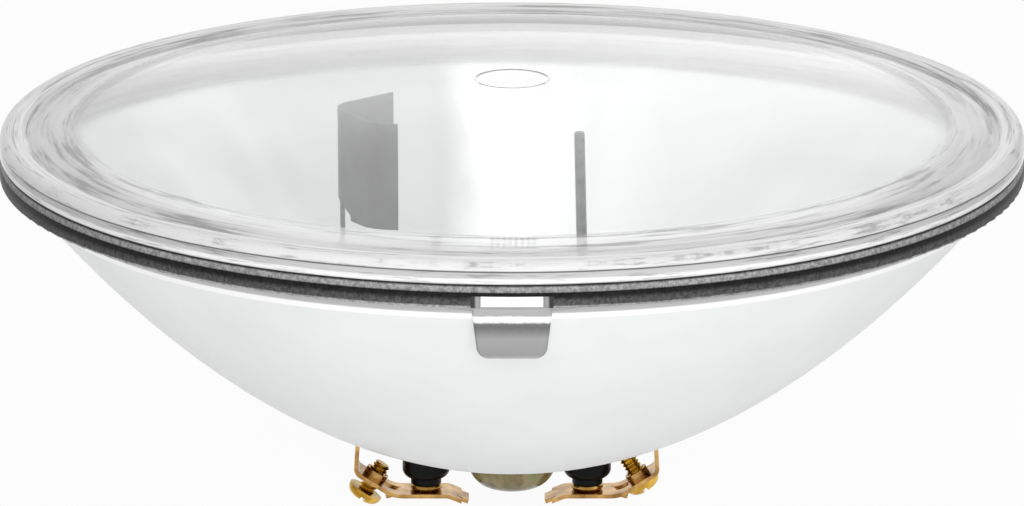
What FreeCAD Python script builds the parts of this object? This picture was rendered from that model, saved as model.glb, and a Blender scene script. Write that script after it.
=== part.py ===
"""Sealed-beam spotlight lamp with a pressed glass bowl, a domed cover lens and two screw terminals.

Millimetres. The lamp's axis is Z and the light leaves towards +Z. Z = 0 is the rear face of the
rim flange, which is the face that a lamp holder's ring carries. +X points to the right terminal.
Heights are counted from that face, or from the bowl's outer vertex, which is bowl_depth below it.
"""

import FreeCAD, Part
import Sketcher
import math
import os

Vector = FreeCAD.Vector
Constraint = Sketcher.Constraint

os.makedirs("parts", exist_ok=True)
doc = FreeCAD.newDocument("SpotlightLamp")

# Driving sizes
SIZES = {
    # Rim and bowl, pressed glass
    "rim_radius": 101.6,
    "seam_inset": 0.4,
    "flange_height": 4.7,
    "flange_top_round": 1.6,
    "flange_edge_round": 0.8,
    "bowl_depth": 58.6,
    "flange_overhang": 3.8,
    "bowl_wall": 4.0,
    "mirror_mouth_inset": 7.3,
    # Locating lugs and notches, opposite each other on the rim
    "lug_count": 2,
    "lug_inset": 5.0,
    "lug_top_width": 16.4,
    "lug_foot_width": 13.3,
    "lug_drop": 11.4,
    "lug_corner_round": 2.4,
    "lug_face_round": 0.7,
    "notch_width": 16.0,
    "notch_floor_width": 12.0,
    "notch_cut": 1.8,
    "notch_height": 2.5,
    # Cover lens
    "lens_height": 19.7,
    "lens_wall": 4.0,
    "dome_foot_inset": 6.8,
    "dome_foot_height": 8.9,
    "groove_inset": 5.6,
    "groove_height": 8.5,
    "land_inset": 4.4,
    "lens_rim_height": 9.4,
    "lens_edge_round": 2.0,
    "lens_edge_break": 0.5,
    "mark_radius": 7.3,
    "mark_width": 0.8,
    "mark_height": 0.25,
    # Exhaust tip, a blob of glass under the bowl's vertex
    "tip_radius": 8.75,
    "tip_shoulder_drop": 1.0,
    "tip_drop": 6.2,
    "tip_belly_radius": 5.2,
    "tip_belly_drop": 5.35,
    "tip_belly_round": 16.3,
    "tip_side_round": 5.27,
    "exhaust_bore_radius": 1.5,
    "exhaust_bore_drop": 4.2,
    # Ferrules, which carry the current through the glass
    "left_offset": 17.1,
    "right_offset": 15.0,
    "ferrule_radius": 2.5,
    "ferrule_wall": 0.4,
    "ferrule_drop": 4.8,
    "ferrule_lip_radius": 3.1,
    "ferrule_lip_height": 0.6,
    "ferrule_lip_gap": 0.08,
    "fused_gap": 0.02,
    # Boots, rubber
    "boot_radius": 4.7,
    "boot_neck_radius": 3.03,
    "boot_neck_length": 1.1,
    "boot_shoulder_drop": 2.1,
    "boot_round": 1.9,
    # Terminal strips, brass, with the eyelets that hold them
    "strip_thickness": 0.8,
    "strip_width": 8.6,
    "eyelet_height": 1.45,
    "eyelet_radius": 2.55,
    "eyelet_bulge_radius": 0.74,
    "eyelet_shank_radius": 1.75,
    "eyelet_hole_gap": 0.05,
    "rivet_radius": 2.6,
    "rivet_height": 0.4,
    "rivet_dimple_radius": 1.0,
    "rivet_dimple_depth": 0.3,
    "base_inner_run": 3.9,
    "base_outer_run": 4.6,
    "lip_tilt": 22.0,
    "lip_bend_radius": 3.0,
    "lip_run": 3.6,
    "plate_tilt": 32.0,
    "base_bend_radius": 6.5,
    "plate_run": 5.9,
    "arm_tilt": 94.0,
    "arm_bend_radius": 1.8,
    "arm_gap": 0.33,
    "lip_tongue_width": 5.2,
    "lip_ear_setback": 1.3,
    "lip_slit_width": 0.9,
    "lip_slit_depth": 1.1,
    "slot_start": 4.9,
    "slot_length": 3.3,
    "tab_width": 2.7,
    "tab_gap": 0.15,
    "tab_root": 0.9,
    "tab_run": 2.6,
    "tab_tilt": 18.0,
    "tab_bend_radius": 2.0,
    "collar_radius": 2.35,
    "collar_height": 1.5,
    # Terminal screws, brass, 6-32
    "screw_radius": 1.75,
    "screw_gap": 0.06,
    "screw_length": 6.35,
    "screw_point_break": 0.4,
    "head_radius": 3.55,
    "head_height": 2.0,
    "head_round": 0.9,
    "screw_slot_width": 0.9,
    "screw_slot_depth": 0.95,
    "seated_gap": 0.05,
    "left_backed_out": 2.2,
    # Lead posts, filament and shield inside the bowl
    "post_radius": 1.05,
    "post_end_round": 0.25,
    "left_post_overhang": 1.7,
    "left_post_lean": 2.5,
    "right_post_headroom": 9.3,
    "right_post_lean": 1.4,
    "coil_turns": 8,
    "coil_pitch": 1.2,
    "coil_wire_radius": 0.22,
    "tail_overhang": 1.3,
    "shield_reach": 34.4,
    "shield_sheet": 0.35,
    "shield_top": 11.2,
    "shield_height": 21.2,
    "shield_back_run": 12.0,
    "shield_back_angle": 41.6,
    "shield_fold_radius": 5.0,
    "shield_front_run": 9.5,
    "shield_front_angle": 58.4,
    "shield_lip_radius": 4.0,
    "shield_lip_run": 3.4,
    "shield_lip_angle": 10.0,
    "shield_corner_cut": 2.5,
    "shield_corner_rise": 4.0,
    "support_radius": 0.5,
    "support_foot_run": 16.0,
    "support_bend_radius": 3.0,
    "support_lean": 48.0,
    "support_top": -2.0,
}

sheet = doc.addObject("Spreadsheet::Sheet", "Size")
sheet.Label = "Size"
for row, (alias, value) in enumerate(SIZES.items(), start=1):
    sheet.set(f"A{row}", alias)
    sheet.set(f"B{row}", str(value))
    sheet.setAlias(f"B{row}", alias)
doc.recompute()

# Formulas that more than one sub-part uses
SEAM_RADIUS = "(Size.rim_radius - Size.seam_inset)"
BOWL_MOUTH_RADIUS = "(Size.rim_radius - Size.flange_overhang)"
MIRROR_MOUTH_RADIUS = "(Size.rim_radius - Size.mirror_mouth_inset)"
DOME_FOOT_RADIUS = "(Size.rim_radius - Size.dome_foot_inset)"
VERTEX = "-Size.bowl_depth"
BOWL_FOCUS = f"{BOWL_MOUTH_RADIUS} ^ 2 / (4 * Size.bowl_depth)"
MIRROR_VERTEX = "(Size.bowl_wall - Size.bowl_depth)"
MIRROR_FOCUS = f"({MIRROR_MOUTH_RADIUS} ^ 2 / (4 * (Size.flange_height - {MIRROR_VERTEX})))"
FERRULE_TOP = (f"(Size.bowl_wall - Size.bowl_depth + (Size.flange_height + Size.bowl_depth - Size.bowl_wall)"
               f" * ((Size.left_offset + Size.ferrule_lip_radius) / {MIRROR_MOUTH_RADIUS}) ^ 2"
               f" + Size.ferrule_lip_gap + Size.ferrule_lip_height)")
FERRULE_HOLE_RADIUS = "(Size.ferrule_radius + Size.fused_gap)"
FERRULE_BOTTOM = f"({VERTEX} - Size.ferrule_drop)"
STRIP_TOP = f"({FERRULE_BOTTOM} - Size.eyelet_height)"
STRIP_MIDDLE = f"({STRIP_TOP} - Size.strip_thickness / 2)"
STRIP_BOTTOM = f"({STRIP_TOP} - Size.strip_thickness)"
PLATE_SIN = "sin(Size.plate_tilt * 1 deg)"
PLATE_COS = "cos(Size.plate_tilt * 1 deg)"
PLATE_X = (f"(Size.base_outer_run + Size.base_bend_radius * {PLATE_SIN}"
           f" + Size.plate_run / 2 * {PLATE_COS})")
PLATE_Z = (f"({STRIP_MIDDLE} + Size.base_bend_radius * (1 - {PLATE_COS})"
           f" + Size.plate_run / 2 * {PLATE_SIN})")
ARM_SIN = "sin(Size.arm_tilt * 1 deg)"
ARM_COS = "cos(Size.arm_tilt * 1 deg)"
ARM_X = (f"(Size.base_outer_run + Size.base_bend_radius * {PLATE_SIN} + Size.plate_run * {PLATE_COS}"
         f" + Size.arm_bend_radius * ({ARM_SIN} - {PLATE_SIN}))")
ARM_Z = (f"({STRIP_MIDDLE} + Size.base_bend_radius * (1 - {PLATE_COS}) + Size.plate_run * {PLATE_SIN}"
         f" + Size.arm_bend_radius * ({PLATE_COS} - {ARM_COS}))")
ARM_TOP = (f"(Size.bowl_depth * (((Size.right_offset + {ARM_X} - Size.strip_thickness)"
           f" / {BOWL_MOUTH_RADIUS}) ^ 2 - 1) - Size.arm_gap)")
ARM_RUN = f"(({ARM_TOP} - {ARM_Z}) / {ARM_SIN})"
SCREW_HOLE_RADIUS = "(Size.screw_radius + Size.screw_gap)"
POST_FOOT = f"({FERRULE_BOTTOM} + Size.ferrule_wall)"
COIL_RADIUS = "(Size.post_radius + Size.coil_wire_radius + Size.fused_gap)"
COIL_LENGTH = "(Size.coil_turns * Size.coil_pitch)"
FOCUS_HEIGHT = f"({MIRROR_VERTEX} + {MIRROR_FOCUS})"
LEFT_POST_LENGTH = (f"(({FOCUS_HEIGHT} - {POST_FOOT}) / cos(Size.left_post_lean * 1 deg)"
                    f" + Size.left_post_overhang)")
RIGHT_POST_LENGTH = (f"((Size.lens_height - Size.lens_wall - Size.right_post_headroom - {POST_FOOT})"
                     f" / cos(Size.right_post_lean * 1 deg))")


def number(formula):
    """The value of a formula in millimetres, degrees or no unit."""
    value = sheet.evalExpression(formula)
    return float(getattr(value, "Value", value))


# Sketch helpers
def arc(radius, side):
    """A round stretch between two corners; side is 1 if its centre is on the left of the way."""
    return ("arc", radius, side)


def parabola(focus, vertex_x, vertex_y):
    """A stretch of an upright parabola between two corners."""
    return ("parabola", focus, vertex_x, vertex_y)


def add_body(name):
    """An empty body whose label is the sub-part's name."""
    body = doc.addObject("PartDesign::Body", name)
    body.Label = name
    return body


def add_sketch(body, name, plane, offset=None):
    """A sketch on one of the body's own origin planes, moved along its normal by a formula."""
    sketch = body.newObject("Sketcher::SketchObject", name)
    support = next(item for item in body.Origin.OriginFeatures if item.Role == plane)
    sketch.AttachmentSupport = [(support, "")]
    sketch.MapMode = "FlatFace"
    if offset is not None:
        sketch.setExpression("AttachmentOffset.Base.z", offset)
        doc.recompute()
    return sketch


def turn_aside(sketch):
    """Turn an upright sketch about Z, so that the seam of what it makes misses lugs and holes."""
    seam_angle = 45
    sketch.AttachmentOffset = FreeCAD.Placement(Vector(), FreeCAD.Rotation(Vector(0, 1, 0), seam_angle))
    doc.recompute()


def bind(sketch, constraint, formula):
    """Add a constraint and tie its value to a formula."""
    index = sketch.addConstraint(constraint)
    sketch.setExpression(f"Constraints[{index}]", formula)


def pin(sketch, geometry, position, x_formula, y_formula):
    """Hold one point of a sketch at two formulas; a formula of None leaves that way free."""
    point = sketch.getPoint(geometry, position)
    if x_formula is not None:
        bind(sketch, Constraint("DistanceX", -1, 1, geometry, position, point.x), x_formula)
    if y_formula is not None:
        bind(sketch, Constraint("DistanceY", -1, 1, geometry, position, point.y), y_formula)


def complete_corner(corner, curve):
    """Both formulas of a corner; where one is None, the parabola beside it gives that one."""
    x_formula, y_formula = corner
    if x_formula is not None and y_formula is not None:
        return corner
    focus, vertex_x, vertex_y = curve[1:]
    if y_formula is None:
        return (x_formula, f"{vertex_y} + ({x_formula} - {vertex_x}) ^ 2 / (4 * {focus})")
    return (f"{vertex_x} + sqrt(4 * {focus} * ({y_formula} - {vertex_y}))", y_formula)


def draw_arc(sketch, start, end, radius_formula, side):
    """Add a round stretch and return it with the numbers of its start and end points."""
    radius = number(radius_formula)
    chord = end - start
    left = Vector(-chord.y, chord.x, 0).normalize()
    rise = math.sqrt(radius ** 2 - (chord.Length / 2) ** 2)
    centre = (start + end) * 0.5 + left * (side * rise)
    circle = Part.Circle(centre, Vector(0, 0, 1), radius)
    first, last = (start, end) if side > 0 else (end, start)
    angles = [math.atan2(point.y - centre.y, point.x - centre.x) for point in (first, last)]
    geometry = sketch.addGeometry(Part.ArcOfCircle(circle, *angles))
    return (geometry, 1, 2) if side > 0 else (geometry, 2, 1)


def draw_parabola(sketch, start, end, focus, vertex_x, vertex_y):
    """Add a stretch of an upright parabola as a spline of three poles, which gives it exactly.

    The middle pole is where the tangents at the two ends meet.
    """
    reaches = [f"({corner[0]} - {vertex_x})" for corner in (start, end)]
    rise = f"{reaches[0]} * {reaches[1]} / (4 * {focus})"
    middle = (f"({start[0]} + {end[0]}) / 2", f"{vertex_y} + {rise}")
    poles = [Vector(number(corner[0]), number(corner[1]), 0) for corner in (start, middle, end)]
    degree = 2
    curve = Part.BSplineCurve()
    curve.buildFromPolesMultsKnots(poles, [degree + 1, degree + 1], [0.0, 1.0], False, degree)
    geometry = sketch.addGeometry(curve)
    sketch.exposeInternalGeometry(geometry)
    middle_pole = geometry + degree
    pin(sketch, middle_pole, 3, *middle)
    return (geometry, 1, 2)


def draw_outline(sketch, path):
    """Close an outline whose corners are pairs of formulas, joined by lines, arcs or parabolas."""
    given = [item for item in path if len(item) == 2]
    curves = {}
    for index, item in enumerate(path):
        if len(item) > 2:
            curves[sum(len(other) == 2 for other in path[:index]) - 1] = item
    corners = []
    for index, corner in enumerate(given):
        curve = curves.get(index)
        if curve is None or curve[0] != "parabola":
            curve = curves.get((index - 1) % len(given))
        corners.append(complete_corner(corner, curve))
    edges = []
    for index, corner in enumerate(corners):
        following = corners[(index + 1) % len(corners)]
        start = Vector(number(corner[0]), number(corner[1]), 0)
        end = Vector(number(following[0]), number(following[1]), 0)
        curve = curves.get(index)
        if curve is None:
            edges.append((sketch.addGeometry(Part.LineSegment(start, end)), 1, 2))
        elif curve[0] == "arc":
            edges.append(draw_arc(sketch, start, end, *curve[1:]))
            bind(sketch, Constraint("Radius", edges[-1][0], number(curve[1])), curve[1])
        else:
            edges.append(draw_parabola(sketch, corner, following, *curve[1:]))
    for index, (geometry, start_point, end_point) in enumerate(edges):
        following, following_start, following_end = edges[(index + 1) % len(edges)]
        sketch.addConstraint(
            Constraint("Coincident", geometry, end_point, following, following_start))
        pin(sketch, geometry, start_point, *corners[index])


def draw_circle(sketch, x_formula, y_formula, radius_formula):
    """Add a circle held by its centre and radius."""
    centre = Vector(number(x_formula), number(y_formula), 0)
    geometry = sketch.addGeometry(Part.Circle(centre, Vector(0, 0, 1), number(radius_formula)))
    pin(sketch, geometry, 3, x_formula, y_formula)
    bind(sketch, Constraint("Radius", geometry, number(radius_formula)), radius_formula)


def draw_bent_line(sketch, start, heading, steps):
    """Add straight runs joined by tangent bends, and return the numbers of all of them.

    A step is ("run", length) or ("bend", radius, turn), where the turn is a formula in degrees,
    positive to the left. A run keeps the heading that the bends before it add up to.
    """
    place = start
    way = number(heading)
    way_formula = heading
    drawn = []
    for step in steps:
        if step[0] == "run":
            ahead = Vector(math.cos(math.radians(way)), math.sin(math.radians(way)), 0)
            end = place + ahead * number(step[1])
            geometry = sketch.addGeometry(Part.LineSegment(place, end))
            bind(sketch, Constraint("Distance", geometry, number(step[1])), step[1])
            bind(sketch, Constraint("Angle", geometry, math.radians(way)), f"({way_formula}) * 1 deg")
            ends = (1, 2)
        else:
            turn = number(step[2])
            side = math.copysign(1, turn)
            left = Vector(-math.sin(math.radians(way)), math.cos(math.radians(way)), 0)
            centre = place + left * (side * number(step[1]))
            way += turn
            way_formula = f"{way_formula} + ({step[2]})"
            left = Vector(-math.sin(math.radians(way)), math.cos(math.radians(way)), 0)
            end = centre - left * (side * number(step[1]))
            first, last = (place, end) if side > 0 else (end, place)
            angles = [math.atan2(point.y - centre.y, point.x - centre.x) for point in (first, last)]
            circle = Part.Circle(centre, Vector(0, 0, 1), number(step[1]))
            geometry = sketch.addGeometry(Part.ArcOfCircle(circle, *angles))
            bind(sketch, Constraint("Radius", geometry, number(step[1])), step[1])
            ends = (1, 2) if side > 0 else (2, 1)
        if drawn:
            before, before_ends = drawn[-1]
            sketch.addConstraint(Constraint("Tangent", before, before_ends[1], geometry, ends[0]))
        drawn.append((geometry, ends))
        place = end
    return drawn


# Feature helpers
def revolve(body, name, sketch, kind="PartDesign::Revolution", axis="V_Axis"):
    """Turn a sketch right round; a groove takes material away."""
    feature = body.newObject(kind, name)
    feature.Profile = sketch
    feature.ReferenceAxis = (sketch, [axis])
    feature.Angle = 360
    sketch.Visibility = False
    doc.recompute()
    return feature


def pad(body, name, sketch, length, both_ways=False, reverse=False):
    """Raise a sketch by a formula."""
    feature = body.newObject("PartDesign::Pad", name)
    feature.Profile = sketch
    feature.setExpression("Length", length)
    feature.Midplane = both_ways
    feature.Reversed = reverse
    doc.recompute()
    return feature


def pocket(body, name, sketch, length=None, both_ways=False, reverse=False):
    """Cut a sketch into the body by a formula, or right through it, and see that it did cut."""
    before = body.Shape.Volume
    feature = body.newObject("PartDesign::Pocket", name)
    feature.Profile = sketch
    if length is None:
        feature.Type = "ThroughAll"
    else:
        feature.setExpression("Length", length)
    feature.Midplane = both_ways
    feature.Reversed = reverse
    doc.recompute()
    if body.Shape.Volume >= before:
        raise RuntimeError(f"{name} cuts nothing")
    return feature


def round_edges(body, name, radius, belongs):
    """Round each edge of the body whose middle passes the test."""
    base = body.Tip
    names = []
    for index, edge in enumerate(body.Shape.Edges, start=1):
        middle = edge.valueAt((edge.FirstParameter + edge.LastParameter) / 2)
        if belongs(edge, middle):
            names.append(f"Edge{index}")
    feature = body.newObject("PartDesign::Fillet", name)
    feature.Base = (base, names)
    feature.setExpression("Radius", radius)
    doc.recompute()
    return feature


def repeat_round(body, name, feature, count):
    """Repeat a feature round the body's Z axis."""
    pattern = body.newObject("PartDesign::PolarPattern", name)
    pattern.Originals = [feature]
    z_axis = next(item for item in body.Origin.OriginFeatures if item.Role == "Z_Axis")
    pattern.Axis = (z_axis, [""])
    pattern.Angle = 360
    pattern.setExpression("Occurrences", count)
    body.Tip = pattern
    doc.recompute()
    return pattern


def sweep_section(body, name, path, edge_count, width, thickness, shift="0"):
    """Carry a flat rectangular section along the first edges of a path sketch."""
    section = body.newObject("Sketcher::SketchObject", f"{name}_section")
    section.AttachmentSupport = [(path, "Edge1"), (path, "Vertex1")]
    section.MapMode = "NormalToEdge"
    doc.recompute()
    half_width = f"{width} / 2"
    half_thickness = f"{thickness} / 2"
    draw_outline(section, [
        (f"-({half_width}) + {shift}", f"-({half_thickness})"),
        (f"{half_width} + {shift}", f"-({half_thickness})"),
        (f"{half_width} + {shift}", half_thickness),
        (f"-({half_width}) + {shift}", half_thickness),
    ])
    return sweep(body, name, section, path, edge_count)


def sweep_wire(body, name, path, edge_count, radius):
    """Carry a round section along the first edges of a path sketch."""
    section = body.newObject("Sketcher::SketchObject", f"{name}_section")
    section.AttachmentSupport = [(path, "Edge1"), (path, "Vertex1")]
    section.MapMode = "NormalToEdge"
    doc.recompute()
    draw_circle(section, "0", "0", radius)
    return sweep(body, name, section, path, edge_count)


def sweep(body, name, section, path, edge_count):
    """Carry a section along a path sketch of the same body."""
    pipe = body.newObject("PartDesign::AdditivePipe", name)
    pipe.Profile = section
    pipe.Spine = (path, [f"Edge{index}" for index in range(1, edge_count + 1)])
    doc.recompute()
    return pipe


def place_at_terminal(body, side):
    """Move a sub-part that was built about a terminal's own axis to that terminal."""
    offset = "Size.right_offset" if side > 0 else "-Size.left_offset"
    half_turn = FreeCAD.Rotation(Vector(0, 0, 1), 0 if side > 0 else 180)
    body.Placement = FreeCAD.Placement(Vector(), half_turn)
    body.setExpression("Placement.Base.x", offset)


# Bowl: outer form, lugs and notches, then the mirror's hollow and the holes through the glass
def build_reflector():
    body = add_body("reflector")
    section = add_sketch(body, "bowl_section", "XZ_Plane")
    turn_aside(section)
    draw_outline(section, [
        ("0", None),
        parabola(BOWL_FOCUS, "0", VERTEX),
        (None, "0"),
        ("Size.rim_radius - Size.flange_edge_round", "0"),
        arc("Size.flange_edge_round", 1),
        ("Size.rim_radius", "Size.flange_edge_round"),
        ("Size.rim_radius", "Size.flange_height - Size.flange_top_round"),
        (SEAM_RADIUS, "Size.flange_height"),
        ("0", "Size.flange_height"),
    ])
    revolve(body, "bowl_form", section)

    front = add_sketch(body, "lug_front", "XZ_Plane")
    draw_outline(front, [
        ("-Size.lug_top_width / 2", "Size.notch_height / 2"),
        ("-Size.lug_foot_width / 2", "-Size.lug_drop"),
        ("Size.lug_foot_width / 2", "-Size.lug_drop"),
        ("Size.lug_top_width / 2", "Size.notch_height / 2"),
    ])
    lug_reach = "(Size.rim_radius - Size.lug_inset)"
    lug = pad(body, "lug", front, lug_reach)
    repeat_round(body, "lugs", lug, "Size.lug_count")
    foot = number("-Size.lug_drop")
    reach = number(lug_reach)
    round_edges(body, "lug_corners", "Size.lug_corner_round", lambda edge, middle: (
        abs(middle.z - foot) < 0.01 and abs(abs(middle.x) - number("Size.lug_foot_width") / 2) < 0.01))
    round_edges(body, "lug_faces", "Size.lug_face_round", lambda edge, middle: (
        abs(abs(middle.y) - reach) < 0.01 and not isinstance(edge.Curve, Part.BSplineCurve)))

    plan = add_sketch(body, "notch_plan", "XY_Plane")
    floor = "-(Size.rim_radius - Size.notch_cut)"
    mouth = "-(Size.rim_radius + Size.notch_cut)"
    draw_outline(plan, [
        ("-Size.notch_floor_width / 2", floor),
        ("-Size.notch_width / 2", "-Size.rim_radius"),
        ("-Size.notch_width / 2", mouth),
        ("Size.notch_width / 2", mouth),
        ("Size.notch_width / 2", "-Size.rim_radius"),
        ("Size.notch_floor_width / 2", floor),
    ])
    notch = pocket(body, "notch", plan, "Size.notch_height", reverse=True)
    repeat_round(body, "notches", notch, "Size.lug_count")

    hollow = add_sketch(body, "mirror_section", "XZ_Plane")
    turn_aside(hollow)
    draw_outline(hollow, [
        ("0", None),
        parabola(MIRROR_FOCUS, "0", MIRROR_VERTEX),
        (None, "Size.flange_height"),
        ("0", "Size.flange_height"),
    ])
    revolve(body, "mirror_hollow", hollow, "PartDesign::Groove")

    holes = add_sketch(body, "glass_holes", "XY_Plane")
    draw_circle(holes, "Size.right_offset", "0", FERRULE_HOLE_RADIUS)
    draw_circle(holes, "-Size.left_offset", "0", FERRULE_HOLE_RADIUS)
    draw_circle(holes, "0", "0", "Size.exhaust_bore_radius")
    pocket(body, "holes", holes)
    return body


# Cover lens: one pressed piece with a domed window, a foot groove and a thick rim
def build_lens():
    body = add_body("lens")
    dome_rise = "(Size.lens_height - Size.dome_foot_height)"
    dome_radius = f"({DOME_FOOT_RADIUS} ^ 2 + {dome_rise} ^ 2) / (2 * {dome_rise})"
    inner_rise = "(Size.lens_height - Size.lens_wall - Size.flange_height)"
    inner_radius = f"({MIRROR_MOUTH_RADIUS} ^ 2 + {inner_rise} ^ 2) / (2 * {inner_rise})"
    section = add_sketch(body, "lens_section", "XZ_Plane")
    draw_outline(section, [
        ("0", "Size.lens_height - Size.lens_wall"),
        arc(inner_radius, -1),
        (MIRROR_MOUTH_RADIUS, "Size.flange_height"),
        (SEAM_RADIUS, "Size.flange_height"),
        ("Size.rim_radius", "Size.flange_height + Size.lens_edge_break"),
        ("Size.rim_radius", "Size.lens_rim_height - Size.lens_edge_round"),
        arc("Size.lens_edge_round", 1),
        ("Size.rim_radius - Size.lens_edge_round", "Size.lens_rim_height"),
        ("Size.rim_radius - Size.land_inset", "Size.lens_rim_height"),
        ("Size.rim_radius - Size.groove_inset", "Size.groove_height"),
        (DOME_FOOT_RADIUS, "Size.dome_foot_height"),
        arc(dome_radius, 1),
        ("0", "Size.lens_height"),
    ])
    revolve(body, "lens_form", section)

    ring = add_sketch(body, "mark_section", "XZ_Plane")
    inner = "Size.mark_radius - Size.mark_width / 2"
    outer = "Size.mark_radius + Size.mark_width / 2"
    top = "Size.lens_height + Size.mark_height"
    bottom = "Size.lens_height - Size.mark_width"
    draw_outline(ring, [
        (inner, bottom),
        (outer, bottom),
        (outer, "Size.lens_height"),
        (f"{outer} - Size.mark_height", top),
        (f"{inner} + Size.mark_height", top),
        (inner, "Size.lens_height"),
    ])
    revolve(body, "crest_mark", ring)
    return body


# Exhaust tip: a blob of clear glass with the closed end of the exhaust bore in it
def build_exhaust_tip():
    body = add_body("exhaust_tip")
    top_vertex = f"({VERTEX} - Size.fused_gap)"
    section = add_sketch(body, "tip_section", "XZ_Plane")
    draw_outline(section, [
        ("0", f"{VERTEX} - Size.tip_drop"),
        arc("Size.tip_belly_round", 1),
        ("Size.tip_belly_radius", f"{VERTEX} - Size.tip_belly_drop"),
        arc("Size.tip_side_round", 1),
        ("Size.tip_radius", f"{VERTEX} - Size.tip_shoulder_drop"),
        ("Size.tip_radius", None),
        parabola(BOWL_FOCUS, "0", top_vertex),
        ("0", None),
    ])
    revolve(body, "tip_form", section)

    bore = add_sketch(body, "bore_section", "XZ_Plane")
    draw_outline(bore, [
        ("0", f"{VERTEX} - Size.exhaust_bore_drop"),
        arc("Size.exhaust_bore_radius", 1),
        ("Size.exhaust_bore_radius", f"{VERTEX} - Size.exhaust_bore_drop + Size.exhaust_bore_radius"),
        ("Size.exhaust_bore_radius", f"{VERTEX} + Size.exhaust_bore_radius"),
        ("0", f"{VERTEX} + Size.exhaust_bore_radius"),
    ])
    revolve(body, "tip_bore", bore, "PartDesign::Groove")
    return body


# Ferrule: a drawn cup fused into the glass, open towards the mirror
def build_ferrule(name, side):
    body = add_body(name)
    floor = POST_FOOT
    top = FERRULE_TOP
    inner = "Size.ferrule_radius - Size.ferrule_wall"
    section = add_sketch(body, f"{name}_section", "XZ_Plane")
    draw_outline(section, [
        ("0", FERRULE_BOTTOM),
        ("Size.ferrule_radius", FERRULE_BOTTOM),
        ("Size.ferrule_radius", f"{top} - Size.ferrule_lip_height"),
        ("Size.ferrule_lip_radius", f"{top} - Size.ferrule_lip_height / 2"),
        ("Size.ferrule_lip_radius", top),
        (inner, top),
        (inner, floor),
        ("0", floor),
    ])
    revolve(body, f"{name}_form", section)
    place_at_terminal(body, side)
    return body


# Boot: a rubber collar round the ferrule, whose top face follows the glass
def build_boot(name, side):
    body = add_body(name)
    offset = "Size.right_offset" if side > 0 else "Size.left_offset"
    section = add_sketch(body, f"{name}_section", "XZ_Plane")
    draw_outline(section, [
        (FERRULE_HOLE_RADIUS, FERRULE_BOTTOM),
        ("Size.boot_neck_radius", FERRULE_BOTTOM),
        ("Size.boot_neck_radius", f"{FERRULE_BOTTOM} + Size.boot_neck_length"),
        arc("Size.boot_round", 1),
        ("Size.boot_radius", f"{VERTEX} - Size.boot_shoulder_drop"),
        ("Size.boot_radius", FERRULE_TOP),
        (FERRULE_HOLE_RADIUS, FERRULE_TOP),
    ])
    revolve(body, f"{name}_form", section)

    glass = add_sketch(body, f"{name}_glass", "XZ_Plane")
    reach = "Size.boot_radius * 2"
    glass_vertex = f"({VERTEX} - Size.fused_gap)"
    draw_outline(glass, [
        (f"-{offset}", None),
        parabola(BOWL_FOCUS, f"-{offset}", glass_vertex),
        (reach, None),
        (reach, f"{FERRULE_TOP} + Size.boot_radius"),
        (f"-{offset}", f"{FERRULE_TOP} + Size.boot_radius"),
    ])
    axis_foot = Vector(-number(offset), 0, 0)
    axis_top = Vector(-number(offset), number("Size.bowl_depth"), 0)
    lamp_axis = glass.addGeometry(Part.LineSegment(axis_foot, axis_top), True)
    pin(glass, lamp_axis, 1, f"-{offset}", "0")
    pin(glass, lamp_axis, 2, f"-{offset}", "Size.bowl_depth")
    revolve(body, f"{name}_seat", glass, "PartDesign::Groove", "Axis0")
    place_at_terminal(body, side)
    return body


# Eyelet: a rivet through the strip, with a round collar between strip and ferrule
def build_eyelet(name, side):
    body = add_body(name)
    shank_top = FERRULE_BOTTOM
    head_bottom = f"{STRIP_BOTTOM} - Size.rivet_height"
    section = add_sketch(body, f"{name}_section", "XZ_Plane")
    draw_outline(section, [
        ("0", f"{head_bottom} + Size.rivet_dimple_depth"),
        ("Size.rivet_dimple_radius - Size.rivet_dimple_depth",
         f"{head_bottom} + Size.rivet_dimple_depth"),
        ("Size.rivet_dimple_radius", head_bottom),
        ("Size.rivet_radius - Size.rivet_height", head_bottom),
        arc("Size.rivet_height", 1),
        ("Size.rivet_radius", STRIP_BOTTOM),
        ("Size.eyelet_shank_radius", STRIP_BOTTOM),
        ("Size.eyelet_shank_radius", STRIP_TOP),
        ("Size.eyelet_radius", STRIP_TOP),
        arc("Size.eyelet_bulge_radius", 1),
        ("Size.eyelet_radius", shank_top),
        ("0", shank_top),
    ])
    revolve(body, f"{name}_form", section)
    place_at_terminal(body, side)
    return body


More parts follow.
